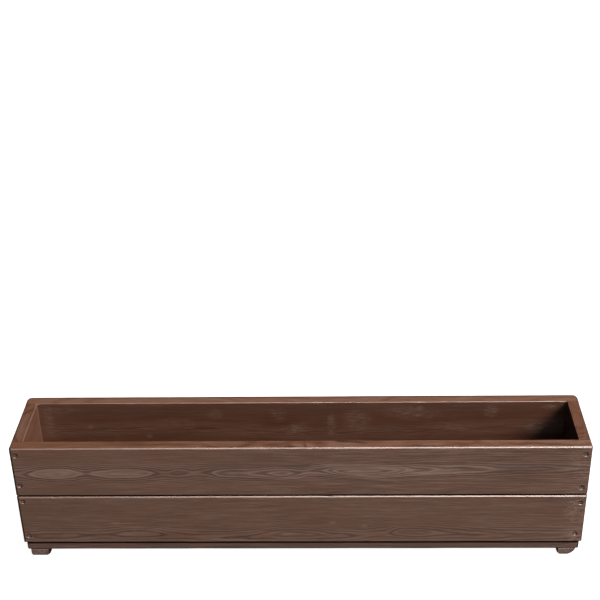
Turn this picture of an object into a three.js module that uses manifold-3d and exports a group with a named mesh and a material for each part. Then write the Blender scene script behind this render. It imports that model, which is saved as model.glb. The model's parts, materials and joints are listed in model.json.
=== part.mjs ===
// Window box planter: a long wooden trough of painted boards, screwed together.
// Millimetres, +Z up. The origin is on the ground, in the middle of the box.
// X runs along the box, and the front face looks towards -Y.
//
// Each long wall is two boards, one above the other, with a narrow shadow gap.
// Each end is one full-height panel between the long walls. The long boards lap
// over the panels' edges and are screwed into them, which ties the upper boards
// to the lower ones. Two lengthwise slats with a drainage gap make the base, and
// two crosswise feet carry the base and tie the slats together.

import * as THREE from 'three';
import { mergeVertices } from 'three/addons/utils/BufferGeometryUtils.js';
import Module from 'manifold-3d';

// ---------------------------------------------------------------- dimensions
const LENGTH = 900;             // overall, along X
const DEPTH = 142;              // overall, along Y
const BOARD_THICKNESS = 19;     // every wall board
const FOOT_HEIGHT = 12.25;
const BASE_THICKNESS = 17.75;
const UPPER_HEIGHT = 92.5;      // the two boards of a long wall
const LOWER_HEIGHT = 93;
const SHADOW_GAP = 2;           // between the upper and the lower board
const JOINT_GAP = 0.25;         // paint film between faces that meet

const OUTER_ARRIS = 3;          // rounding of the long edges on a board's face side
const INNER_ARRIS = 1;          // and on its inner side
const END_ROUNDING = 1;         // rounding round the boards' sawn ends
const FRONT_CORNER = 2.5;       // rounding of the box's upright corners, in plan
const BACK_CORNER = 9;
const SLAT_ARRIS = 2;
const SLAT_TOP_ARRIS = 6;       // of the upper edge that makes a groove under the wall

const BASE_INSET_Y = 4;         // base slats' edge behind the wall's face
const BASE_INSET_X = 3;         // base slats' end inside the wall's end
const DRAIN_GAP = 10;           // between the two base slats

const FOOT_INSET_X = 7.75;      // foot's outer side inside the wall's end
// width and how far its ends lie behind the wall's faces, then the rounding of
// the two lower edges: across and up, on the side towards -X and on the side
// towards +X, and how full the curve is (2 is an ellipse, 1 a plain bevel)
const FOOT_LEFT = { width: 33.5, insetY: 4, minus: [3, 5], plus: [8.5, 10.5], full: 2 };
const FOOT_RIGHT = { width: 31, insetY: 5, minus: [7, 10.5], plus: [13, 11], full: 1.6 };

// countersunk wood screws
const SCREW_SHANK_R = 1.95;
const SCREW_HEAD_R = 3.8;
const SCREW_RIM = 0.6;          // straight edge of the head
const SCREW_CONE = 2.4;         // height of the cone under the rim
const SCREW_POINT = 6;          // length of the pointed tip
const SCREW_SIDES = 10;
const CORNER_SCREW = 45;        // lengths
const BASE_SCREW = 45;
const FOOT_SCREW = 28;
const HEAD_SUNK = 1.2;          // a head lies this far below the board's face
const HOLE_CLEARANCE = 0.35;    // round the screw, in radius
const DRIVE_DEPTH = 1.7;        // cross recess in the head
const DRIVE_SPAN = 4.4;
const DRIVE_SLOT = 1.2;

// derived heights
const BASE_Z0 = FOOT_HEIGHT + JOINT_GAP;
const WALL_Z0 = BASE_Z0 + BASE_THICKNESS + JOINT_GAP;
const UPPER_Z0 = WALL_Z0 + LOWER_HEIGHT + SHADOW_GAP;
const HEIGHT = UPPER_Z0 + UPPER_HEIGHT;
const PANEL_HEIGHT = HEIGHT - WALL_Z0;
const PANEL_WIDTH = DEPTH - 2 * BOARD_THICKNESS - 2 * JOINT_GAP;
const PANEL_X = LENGTH / 2 - BOARD_THICKNESS / 2;
const WALL_Y = DEPTH / 2 - BOARD_THICKNESS / 2;
const SLAT_WIDTH = (DEPTH - 2 * BASE_INSET_Y - DRAIN_GAP) / 2;
const SLAT_LENGTH = LENGTH - 2 * BASE_INSET_X;
const SLAT_Y = DRAIN_GAP / 2 + SLAT_WIDTH / 2;

// ---------------------------------------------------------------- screws
// Each row: name, x, z (corner screws) or x, y (screws from below), and how far
// the cross recess is turned, in degrees. The corner screws are not in line,
// because they were driven by eye.
const FRONT_SCREWS = [
  ['front_left_1', -440.9, 204.7, 12], ['front_left_2', -441.2, 146.4, 48],
  ['front_left_3', -440.9, 114.6, 71], ['front_left_4', -439.7, 44.2, 30],
  ['front_right_1', 440.1, 203.8, 64], ['front_right_2', 439.8, 139.4, 5],
  ['front_right_3', 440.6, 109.5, 37], ['front_right_4', 437.6, 46.9, 80],
];
const BACK_SCREWS = [
  ['back_left_1', -440.5, 203.2, 25], ['back_left_2', -441, 143.7, 83],
  ['back_left_3', -440, 111.6, 17], ['back_left_4', -440.8, 48.4, 55],
  ['back_right_1', 440.2, 205, 42], ['back_right_2', 441, 146.9, 9],
  ['back_right_3', 440.4, 113.5, 76], ['back_right_4', 439.6, 45.1, 33],
];
const BASE_SCREWS = [
  ['base_front_1', -302, -59.5, 20], ['base_front_2', 3, -59.5, 66], ['base_front_3', 298, -59.5, 41],
  ['base_back_1', -297, 59.5, 11], ['base_back_2', -4, 59.5, 85], ['base_back_3', 303, 59.5, 52],
  ['base_left_1', -439, -15, 35], ['base_left_2', -439, 15, 7],
  ['base_right_1', 439, -15, 59], ['base_right_2', 439, 15, 28],
];
const FOOT_SCREWS = [
  ['foot_left_1', -429, -37, 15], ['foot_left_2', -428.5, 36, 70],
  ['foot_right_1', 423.5, -35, 44], ['foot_right_2', 424, 38, 3],
];

// ---------------------------------------------------------------- solids
const wasm = await Module();
wasm.setup();

function toSolid(geometry) {
  const bare = geometry.clone();
  bare.deleteAttribute('normal');
  bare.deleteAttribute('uv');
  const merged = mergeVertices(bare, 1e-4);
  const position = merged.attributes.position.array;
  const index = merged.index.array;
  const kept = [];
  let volume = 0;
  const corner = (i) => new THREE.Vector3(position[3 * i], position[3 * i + 1], position[3 * i + 2]);
  for (let i = 0; i < index.length; i += 3) {
    const [a, b, c] = [index[i], index[i + 1], index[i + 2]];
    if (a === b || b === c || c === a) continue;
    kept.push(a, b, c);
    volume += corner(a).dot(corner(b).cross(corner(c)));
  }
  if (volume < 0) for (let i = 0; i < kept.length; i += 3) [kept[i], kept[i + 1]] = [kept[i + 1], kept[i]];
  const mesh = new wasm.Mesh({
    numProp: 3,
    vertProperties: new Float32Array(position),
    triVerts: new Uint32Array(kept),
  });
  return new wasm.Manifold(mesh);
}

function toGeometry(solid) {
  const mesh = solid.getMesh();
  const geometry = new THREE.BufferGeometry();
  geometry.setAttribute('position', new THREE.BufferAttribute(new Float32Array(mesh.vertProperties), 3));
  geometry.setIndex(new THREE.BufferAttribute(new Uint32Array(mesh.triVerts), 1));
  geometry.computeVertexNormals();
  return geometry;
}

// A closed outline round a box of half sizes w, h. radii gives the elliptical
// rounding [across, up] of each corner, anticlockwise from the lower left, and
// full makes all the curves fuller or flatter than an ellipse.
function outline(w, h, radii, full = 2) {
  const corners = [[-w, -h, 1, 1], [w, -h, -1, 1], [w, h, -1, -1], [-w, h, 1, -1]];
  const shape = new THREE.Shape();
  corners.forEach(([x, y, sx, sy], i) => {
    const [rx, ry] = radii[i];
    if (rx <= 0 || ry <= 0) {
      if (i === 0) shape.moveTo(x, y); else shape.lineTo(x, y);
      return;
    }
    const start = Math.PI + i * Math.PI / 2;
    const cx = x + sx * rx;
    const cy = y + sy * ry;
    const px = cx + rx * Math.cos(start);
    const py = cy + ry * Math.sin(start);
    if (i === 0) shape.moveTo(px, py); else shape.lineTo(px, py);
    if (full === 2) {
      shape.absellipse(cx, cy, rx, ry, start, start + Math.PI / 2, false, 0);
      return;
    }
    const steps = 8;
    for (let k = 1; k <= steps; k++) {
      const angle = start + (Math.PI / 2) * (k / steps);
      const c = Math.cos(angle);
      const d = Math.sin(angle);
      shape.lineTo(cx + rx * Math.sign(c) * Math.abs(c) ** (2 / full), cy + ry * Math.sign(d) * Math.abs(d) ** (2 / full));
    }
  });
  shape.closePath();
  return shape;
}

// A board with all its edges rounded: length along X, thickness along Y with the
// face side towards -Y, height along Z, centred on its own origin. top is the
// rounding of its upper edge on the face side.
function boardGeometry(length, thickness, height, face = OUTER_ARRIS, inner = INNER_ARRIS, end = END_ROUNDING, top = face) {
  const f = [face - end, face - end];
  const n = [inner - end, inner - end];
  const t = [top - end, top - end];
  const shape = outline(thickness / 2 - end, height / 2 - end, [f, n, n, t]);
  const geometry = new THREE.ExtrudeGeometry(shape, {
    depth: length - 2 * end,
    bevelEnabled: true,
    bevelThickness: end,
    bevelSize: end,
    bevelSegments: 2,
    curveSegments: 3,
    steps: 1,
  });
  geometry.translate(0, 0, -(length - 2 * end) / 2);
  // the shape's x, y and the extrusion's z become Y, Z and X
  geometry.applyMatrix4(new THREE.Matrix4().makeBasis(
    new THREE.Vector3(0, 1, 0), new THREE.Vector3(0, 0, 1), new THREE.Vector3(1, 0, 0)));
  return geometry;
}

// The waste that rounding a long board's upright corner takes off, on the face
// side, at the end towards +X (side 1) or -X (side -1).
function cornerWaste(radius, side) {
  const x = LENGTH / 2;
  const y = -BOARD_THICKNESS / 2;
  const points = [[x + 2, y + radius], [x + 2, y - 2], [x - radius, y - 2]];
  const steps = 6;
  for (let k = 0; k <= steps; k++) {
    const angle = (Math.PI / 2) * (k / steps);
    points.push([x - radius + radius * Math.sin(angle), y + radius - radius * Math.cos(angle)]);
  }
  const shape = new THREE.Shape(points.map(([a, b]) => new THREE.Vector2(side * a, b)));
  const waste = new THREE.ExtrudeGeometry(shape, { depth: UPPER_HEIGHT + 4, bevelEnabled: false });
  waste.translate(0, 0, -UPPER_HEIGHT / 2 - 2);
  return waste;
}

// A long board of a wall, with its upright corners rounded.
function plankGeometry(height, corner) {
  let solid = toSolid(boardGeometry(LENGTH, BOARD_THICKNESS, height));
  for (const side of [-1, 1]) solid = solid.subtract(toSolid(cornerWaste(corner, side)));
  return toGeometry(solid);
}

// A foot: a short batten that runs from front to back, with its two lower edges
// rounded by hand.
function footGeometry(foot) {
  const upper = [1, 1];
  const shape = outline(foot.width / 2, FOOT_HEIGHT / 2, [foot.minus, foot.plus, upper, upper], foot.full);
  const length = DEPTH - 2 * foot.insetY;
  const geometry = new THREE.ExtrudeGeometry(shape, {
    depth: length, bevelEnabled: false, curveSegments: 5, steps: 1,
  });
  geometry.translate(0, 0, -length / 2);
  // the shape's x and y stay X and Z, and the extrusion runs along -Y
  geometry.rotateX(Math.PI / 2);
  return geometry;
}

// A screw stands along its own Y axis: the top of its head is at the origin and
// its point is at -length. extra widens it, and mouth adds a straight well above
// the head, which makes the tool for its hole.
function screwProfile(length, extra = 0, mouth = 0) {
  const head = SCREW_HEAD_R + extra;
  const shank = SCREW_SHANK_R + extra;
  const points = [new THREE.Vector2(0, -length - extra)];
  points.push(new THREE.Vector2(shank, -length + SCREW_POINT));
  points.push(new THREE.Vector2(shank, -SCREW_RIM - SCREW_CONE));
  points.push(new THREE.Vector2(head, -SCREW_RIM - extra * 0.4));
  points.push(new THREE.Vector2(head, mouth));
  points.push(new THREE.Vector2(0, mouth));
  return points;
}

function screwGeometry(length) {
  const body = toSolid(new THREE.LatheGeometry(screwProfile(length), SCREW_SIDES));
  const s = DRIVE_SLOT / 2;
  const a = DRIVE_SPAN / 2;
  const cross = new THREE.Shape([
    [s, s], [s, a], [-s, a], [-s, s], [-a, s], [-a, -s], [-s, -s], [-s, -a], [s, -a], [s, -s], [a, -s], [a, s],
  ].map(([x, y]) => new THREE.Vector2(x, y)));
  const recess = new THREE.ExtrudeGeometry(cross, { depth: DRIVE_DEPTH + 1, bevelEnabled: false });
  recess.rotateX(-Math.PI / 2);
  recess.translate(0, -DRIVE_DEPTH, 0);
  return toGeometry(body.subtract(toSolid(recess)));
}

// where each screw stands: its head's top centre, and its turn
function screwMatrix(position, direction, roll) {
  const turn = new THREE.Quaternion().setFromUnitVectors(new THREE.Vector3(0, -1, 0), direction);
  const twist = new THREE.Quaternion().setFromAxisAngle(new THREE.Vector3(0, 1, 0), THREE.MathUtils.degToRad(roll));
  return new THREE.Matrix4().compose(position, turn.multiply(twist), new THREE.Vector3(1, 1, 1));
}

const toBack = new THREE.Vector3(0, 1, 0);
const toFront = new THREE.Vector3(0, -1, 0);
const upwards = new THREE.Vector3(0, 0, 1);
const screws = [
  ...FRONT_SCREWS.map(([name, x, z, roll]) => ({
    name: `screw_${name}`, length: CORNER_SCREW,
    matrix: screwMatrix(new THREE.Vector3(x, -DEPTH / 2 + HEAD_SUNK, z), toBack, roll),
  })),
  ...BACK_SCREWS.map(([name, x, z, roll]) => ({
    name: `screw_${name}`, length: CORNER_SCREW,
    matrix: screwMatrix(new THREE.Vector3(x, DEPTH / 2 - HEAD_SUNK, z), toFront, roll),
  })),
  ...BASE_SCREWS.map(([name, x, y, roll]) => ({
    name: `screw_${name}`, length: BASE_SCREW,
    matrix: screwMatrix(new THREE.Vector3(x, y, BASE_Z0 + HEAD_SUNK), upwards, roll),
  })),
  ...FOOT_SCREWS.map(([name, x, y, roll]) => ({
    name: `screw_${name}`, length: FOOT_SCREW,
    matrix: screwMatrix(new THREE.Vector3(x, y, HEAD_SUNK), upwards, roll),
  })),
];

// Cut every screw's hole out of a board that stands at this place.
function drilled(geometry, place) {
  let solid = toSolid(geometry);
  geometry.computeBoundingBox();
  const box = geometry.boundingBox.clone().translate(place);
  for (const screw of screws) {
    const tool = new THREE.LatheGeometry(screwProfile(screw.length, HOLE_CLEARANCE, HEAD_SUNK + 1), SCREW_SIDES);
    tool.applyMatrix4(screw.matrix);
    tool.computeBoundingBox();
    if (!tool.boundingBox.intersectsBox(box)) continue;
    tool.translate(-place.x, -place.y, -place.z);
    solid = solid.subtract(toSolid(tool));
  }
  return toGeometry(solid);
}

// ---------------------------------------------------------------- materials
function painted(color, roughness = 0.42) {
  return new THREE.MeshStandardMaterial({ color, roughness, metalness: 0, flatShading: true });
}
const paint = {
  upper: () => painted(0x664e43),
  lower: () => painted(0x614a3e),
  back: () => painted(0x5e483d),
  end: () => painted(0x6b5145),
  base: () => painted(0x54413a, 0.5),
  foot: () => painted(0x68554b, 0.5),
};
const paintedSteel = () => new THREE.MeshStandardMaterial({ color: 0x5c463b, roughness: 0.35, metalness: 0.3, flatShading: true });

// ---------------------------------------------------------------- assembly
const planter = new THREE.Group();

function add(parent, name, geometry, material, x, y, z) {
  const place = new THREE.Vector3(x, y, z);
  const mesh = new THREE.Mesh(drilled(geometry, place), material);
  mesh.name = name;
  mesh.position.copy(place);
  parent.add(mesh);
}

const walls = new THREE.Group();
planter.add(walls);
const lowerZ = WALL_Z0 + LOWER_HEIGHT / 2;
const upperZ = UPPER_Z0 + UPPER_HEIGHT / 2;
add(walls, 'front_board_upper', plankGeometry(UPPER_HEIGHT, FRONT_CORNER), paint.upper(), 0, -WALL_Y, upperZ);
add(walls, 'front_board_lower', plankGeometry(LOWER_HEIGHT, FRONT_CORNER), paint.lower(), 0, -WALL_Y, lowerZ);
add(walls, 'back_board_upper', plankGeometry(UPPER_HEIGHT, BACK_CORNER).rotateZ(Math.PI), paint.back(), 0, WALL_Y, upperZ);
add(walls, 'back_board_lower', plankGeometry(LOWER_HEIGHT, BACK_CORNER).rotateZ(Math.PI), paint.back(), 0, WALL_Y, lowerZ);

// an end panel is a wide board turned across the box, its face side outwards
const panelZ = WALL_Z0 + PANEL_HEIGHT / 2;
const panel = () => boardGeometry(PANEL_WIDTH, BOARD_THICKNESS, PANEL_HEIGHT, OUTER_ARRIS, INNER_ARRIS, 0.5);
add(walls, 'end_panel_left', panel().rotateZ(-Math.PI / 2), paint.end(), -PANEL_X, 0, panelZ);
add(walls, 'end_panel_right', panel().rotateZ(Math.PI / 2), paint.end(), PANEL_X, 0, panelZ);

const base = new THREE.Group();
planter.add(base);
const baseZ = BASE_Z0 + BASE_THICKNESS / 2;
const slat = () => boardGeometry(SLAT_LENGTH, SLAT_WIDTH, BASE_THICKNESS, SLAT_ARRIS, SLAT_ARRIS, END_ROUNDING, SLAT_TOP_ARRIS);
add(base, 'base_slat_front', slat(), paint.base(), 0, -SLAT_Y, baseZ);
add(base, 'base_slat_back', slat().rotateZ(Math.PI), paint.base(), 0, SLAT_Y, baseZ);

const feet = new THREE.Group();
planter.add(feet);
add(feet, 'foot_left', footGeometry(FOOT_LEFT), paint.foot(),
  -LENGTH / 2 + FOOT_INSET_X + FOOT_LEFT.width / 2, 0, FOOT_HEIGHT / 2);
add(feet, 'foot_right', footGeometry(FOOT_RIGHT), paint.foot(),
  LENGTH / 2 - FOOT_INSET_X - FOOT_RIGHT.width / 2, 0, FOOT_HEIGHT / 2);

const fixings = new THREE.Group();
planter.add(fixings);
for (const screw of screws) {
  const mesh = new THREE.Mesh(screwGeometry(screw.length), paintedSteel());
  mesh.name = screw.name;
  screw.matrix.decompose(mesh.position, mesh.quaternion, mesh.scale);
  fixings.add(mesh);
}

export default planter;
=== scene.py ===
import json
import math

import bpy
import numpy as np
from mathutils import Matrix, Vector

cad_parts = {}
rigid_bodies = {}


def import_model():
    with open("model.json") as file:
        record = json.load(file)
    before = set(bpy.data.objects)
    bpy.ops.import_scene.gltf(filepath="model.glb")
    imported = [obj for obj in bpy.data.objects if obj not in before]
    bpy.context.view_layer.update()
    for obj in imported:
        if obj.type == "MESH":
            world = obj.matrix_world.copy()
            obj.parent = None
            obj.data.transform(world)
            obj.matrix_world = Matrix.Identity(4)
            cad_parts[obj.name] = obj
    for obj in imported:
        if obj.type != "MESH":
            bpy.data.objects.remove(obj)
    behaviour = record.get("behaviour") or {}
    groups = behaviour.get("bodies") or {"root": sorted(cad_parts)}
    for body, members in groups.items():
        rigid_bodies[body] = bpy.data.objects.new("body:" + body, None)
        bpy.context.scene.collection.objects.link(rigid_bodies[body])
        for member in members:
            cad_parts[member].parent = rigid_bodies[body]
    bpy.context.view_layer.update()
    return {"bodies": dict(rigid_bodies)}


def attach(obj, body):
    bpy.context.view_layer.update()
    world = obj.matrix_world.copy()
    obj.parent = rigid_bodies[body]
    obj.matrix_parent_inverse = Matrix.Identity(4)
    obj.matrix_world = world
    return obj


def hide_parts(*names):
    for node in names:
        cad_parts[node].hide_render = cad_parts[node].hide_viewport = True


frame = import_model()
scene = bpy.context.scene
scene.view_settings.view_transform = "Standard"
scene.view_settings.look = "None"
MM = 0.001

# =================================================================== camera
camera_data = bpy.data.cameras.new("camera")
camera = bpy.data.objects.new("camera", camera_data)
scene.collection.objects.link(camera)
camera_data.sensor_fit = "HORIZONTAL"
camera_data.sensor_width = 36.0
camera_data.lens = 72.046
camera_data.shift_x = 0.0003
camera_data.clip_start = 0.05
camera_data.clip_end = 200.0


def turn(axis, degrees):
    return np.array(Matrix.Rotation(math.radians(degrees), 3, axis))


looking = turn("Z", -1.29) @ turn("X", 29.46) @ turn("Y", 1.79) @ np.array([[1, 0, 0], [0, 0, -1], [0, 1, 0]])
pose = np.eye(4)
pose[:3, 0], pose[:3, 1], pose[:3, 2] = looking[0], -looking[1], -looking[2]
pose[:3, 3] = (0.0533, -1.5649, 1.3232)
camera.matrix_world = Matrix(pose.tolist())
scene.camera = camera

# =================================================================== sizes, in mm
LENGTH, DEPTH, THICK, UPPER, LOWER = 900.0, 142.0, 19.0, 92.5, 93.0
FOOT, BASE_Z0, BASE, WALL_Z0, UPPER_Z0, HEIGHT = 12.25, 12.5, 17.75, 30.5, 125.5, 218.0
INNER_Y = DEPTH / 2 - THICK
HEAD_SUNK = 1.2

# name, x, z (or y for the screws from below), turn of the cross recess
FRONT_SCREWS = [
    ("front_left_1", -440.9, 204.7, 12), ("front_left_2", -441.2, 146.4, 48),
    ("front_left_3", -440.9, 114.6, 71), ("front_left_4", -439.7, 44.2, 30),
    ("front_right_1", 440.1, 203.8, 64), ("front_right_2", 439.8, 139.4, 5),
    ("front_right_3", 440.6, 109.5, 37), ("front_right_4", 437.6, 46.9, 80),
]
BACK_SCREWS = [
    ("back_left_1", -440.5, 203.2, 25), ("back_left_2", -441.0, 143.7, 83),
    ("back_left_3", -440.0, 111.6, 17), ("back_left_4", -440.8, 48.4, 55),
    ("back_right_1", 440.2, 205.0, 42), ("back_right_2", 441.0, 146.9, 9),
    ("back_right_3", 440.4, 113.5, 76), ("back_right_4", 439.6, 45.1, 33),
]
BASE_SCREWS = [
    ("base_front_1", -302.0, -59.5, 20), ("base_front_2", 3.0, -59.5, 66), ("base_front_3", 298.0, -59.5, 41),
    ("base_back_1", -297.0, 59.5, 11), ("base_back_2", -4.0, 59.5, 85), ("base_back_3", 303.0, 59.5, 52),
    ("base_left_1", -439.0, -15.0, 35), ("base_left_2", -439.0, 15.0, 7),
    ("base_right_1", 439.0, -15.0, 59), ("base_right_2", 439.0, 15.0, 28),
]
FOOT_SCREWS = [
    ("foot_left_1", -429.0, -37.0, 15), ("foot_left_2", -428.5, 36.0, 70),
    ("foot_right_1", 423.5, -35.0, 44), ("foot_right_2", 424.0, 38.0, 3),
]


# =================================================================== noise for shapes
def lattice(i, j, k, seed):
    h = (i * 374761393 + j * 668265263 + k * 2147483647 + seed * 1274126177) & 0xFFFFFFFF
    h = ((h ^ (h >> 13)) * 1274126177) & 0xFFFFFFFF
    h = h ^ (h >> 16)
    return (h & 0xFFFF) / 65535.0 * 2 - 1


def bumps(x, y, z, seed=0):
    """Smooth value noise from -1 to 1, one lump to a unit."""
    x, y, z = np.broadcast_arrays(x, y, z)
    i, j, k = (np.floor(v).astype(np.int64) for v in (x, y, z))
    fx, fy, fz = x - i, y - j, z - k
    fx, fy, fz = (f * f * (3 - 2 * f) for f in (fx, fy, fz))
    out = 0.0
    for a in (0, 1):
        for b in (0, 1):
            for c in (0, 1):
                w = (fx if a else 1 - fx) * (fy if b else 1 - fy) * (fz if c else 1 - fz)
                out = out + w * lattice(i + a, j + b, k + c, seed)
    return out


def step(lo, hi, v):
    t = np.clip((v - lo) / (hi - lo), 0, 1)
    return t * t * (3 - 2 * t)


# =================================================================== node helper
class Net:
    """Builds one material's nodes."""

    def __init__(self, name):
        self.material = bpy.data.materials.new(name)
        self.material.use_nodes = True
        self.tree = self.material.node_tree
        self.tree.nodes.clear()
        self.out = self.new("ShaderNodeOutputMaterial")

    def new(self, kind, **settings):
        node = self.tree.nodes.new(kind)
        for k, v in settings.items():
            setattr(node, k, v)
        return node

    def put(self, socket, value):
        if hasattr(value, "is_output"):
            self.tree.links.new(value, socket)
        else:
            socket.default_value = value

    def math(self, op, a, b=None, c=None, clamp=False):
        node = self.new("ShaderNodeMath", operation=op, use_clamp=clamp)
        for socket, value in zip(node.inputs, (a, b, c)):
            if value is not None:
                self.put(socket, value)
        return node.outputs[0]

    def add(self, *values):
        total = values[0]
        for v in values[1:]:
            total = self.math("ADD", total, v)
        return total

    def times(self, a, b):
        return self.math("MULTIPLY", a, b)

    def scaled(self, a, factor, plus=0.0):
        return self.math("MULTIPLY_ADD", a, factor, plus)

    def smooth(self, value, lo, hi, to_lo=0.0, to_hi=1.0):
        node = self.new("ShaderNodeMapRange", interpolation_type="SMOOTHSTEP")
        for socket, v in zip(node.inputs, (value, lo, hi, to_lo, to_hi)):
            self.put(socket, v)
        return node.outputs[0]

    def vector(self, x, y, z):
        node = self.new("ShaderNodeCombineXYZ")
        for socket, v in zip(node.inputs, (x, y, z)):
            self.put(socket, v)
        return node.outputs[0]

    def noise(self, vector, detail=2.0, rough=0.5, scale=1.0, distortion=0.0):
        node = self.new("ShaderNodeTexNoise", noise_dimensions="3D")
        self.put(node.inputs["Vector"], vector)
        node.inputs["Scale"].default_value = scale
        node.inputs["Detail"].default_value = detail
        node.inputs["Roughness"].default_value = rough
        node.inputs["Distortion"].default_value = distortion
        return node.outputs["Fac"]

    def cells(self, vector, scale=1.0, random=1.0):
        node = self.new("ShaderNodeTexVoronoi", voronoi_dimensions="3D", feature="F1")
        self.put(node.inputs["Vector"], vector)
        node.inputs["Scale"].default_value = scale
        node.inputs["Randomness"].default_value = random
        return node.outputs["Distance"]

    def mix(self, fac, a, b):
        node = self.new("ShaderNodeMix", data_type="RGBA", clamp_factor=True)
        self.put(node.inputs[0], fac)
        self.put(node.inputs[6], a)
        self.put(node.inputs[7], b)
        return node.outputs[2]

    def curve(self, value, points, low, high):
        """A smooth curve through (0..1, value) points, as a float curve node. Returns its output and a table of it."""
        node = self.new("ShaderNodeFloatCurve")
        mapping = node.mapping
        line = mapping.curves[0]
        share = [(x, (y - low) / (high - low)) for x, y in points]
        line.points[0].location = share[0]
        line.points[1].location = share[-1]
        for x, y in share[1:-1]:
            line.points.new(x, y)
        mapping.extend = "HORIZONTAL"
        mapping.update()
        mapping.initialize()
        self.put(node.inputs["Value"], value)
        table = np.array([mapping.evaluate(line, i / 400) for i in range(401)]) * (high - low) + low
        return self.scaled(node.outputs[0], high - low, low), table

    def place(self):
        """The surface point in millimetres, as x, y, z sockets."""
        coordinates = self.new("ShaderNodeTexCoord")
        node = self.new("ShaderNodeVectorMath", operation="SCALE")
        self.tree.links.new(coordinates.outputs["Object"], node.inputs[0])
        node.inputs["Scale"].default_value = 1000.0
        split = self.new("ShaderNodeSeparateXYZ")
        self.tree.links.new(node.outputs[0], split.inputs[0])
        return split.outputs[0], split.outputs[1], split.outputs[2]

    def finish(self, colour, roughness, height=None, distance=0.0001, **constants):
        shader = self.new("ShaderNodeBsdfPrincipled")
        self.put(shader.inputs["Base Color"], colour)
        self.put(shader.inputs["Roughness"], roughness)
        for name, v in constants.items():
            self.put(shader.inputs[name.replace("_", " ")], v)
        if height is not None:
            bump = self.new("ShaderNodeBump")
            bump.inputs["Strength"].default_value = 1.0
            bump.inputs["Distance"].default_value = distance
            self.put(bump.inputs["Height"], height)
            self.tree.links.new(bump.outputs["Normal"], shader.inputs["Normal"])
        self.tree.links.new(shader.outputs[0], self.out.inputs[0])
        return self.material


# =================================================================== wood
# The growth rings are tubes round a pith line that bends behind the board's face:
# "deep" is how far the pith lies behind the face, "mid" where it runs across the
# face, both along the grain. Where the pith comes nearer, the rings close in long
# pointed loops, as on any flat-sawn board. Ring number n has a radius of
# FIRST + (n - 1) * RING.
RING, FIRST, POINTED = 3.5, 12.0, 0.25
PAINT = (0.137, 0.061, 0.037)


def grain_tables(spec):
    net = Net("probe")
    _, deep = net.curve(0.5, spec["deep"], -10.0, 90.0)
    _, mid = net.curve(0.5, spec["mid"], spec["mid_range"][0], spec["mid_range"][1])
    bpy.data.materials.remove(net.material)
    return deep, mid


def ring_number(spec, along, across_u, across_v):
    """The same rings as in the material, without its fine noise, for the relief."""
    deep, mid = spec["tables"]
    a0, a1 = spec["span"]
    share = np.clip((along - a0) / (a1 - a0), 0, 1) * 400
    d = np.interp(share, np.arange(401), deep)
    m = np.interp(share, np.arange(401), mid)
    u = across_u - (spec["face"] + spec["inward"] * d)
    v = across_v - m
    r = np.sqrt(u * u + v * v) + POINTED * np.abs(v)
    r = r + 0.32 * np.sin(along * 0.061 + v * 0.11) + 0.2 * np.sin(along * 0.143 - v * 0.19 + 1.7)
    return (r - FIRST) / RING + 1


def spots(net, along, v, places):
    """A mask of soft ovals: (along, across, half length, half width, amount)."""
    total = 0.0
    for pa, pv, ra, rv, amount in places:
        x = net.scaled(along, 1 / ra, -pa / ra)
        y = net.scaled(v, 1 / rv, -pv / rv)
        total = net.add(total, net.smooth(net.math("SQRT", net.add(net.times(x, x), net.times(y, y))), 1.0, 0.25, 0.0, amount))
    return total


def ramp(net, coordinates, shade):
    """A mask for one painted highlight or painted shade: it grows over each of the entry's spans: (axis, from, to),
    with a capital for either side of zero.
    """
    total = None
    for axis, start, end in shade[1:]:
        value = dict(zip("auv", coordinates))[axis.lower()]
        if axis.isupper():
            value = net.math("ABSOLUTE", value)
        lo, hi = min(start, end), max(start, end)
        part = net.smooth(value, lo, hi, *((0.0, 1.0) if start < end else (1.0, 0.0)))
        total = part if total is None else net.times(total, part)
    return total


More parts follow.
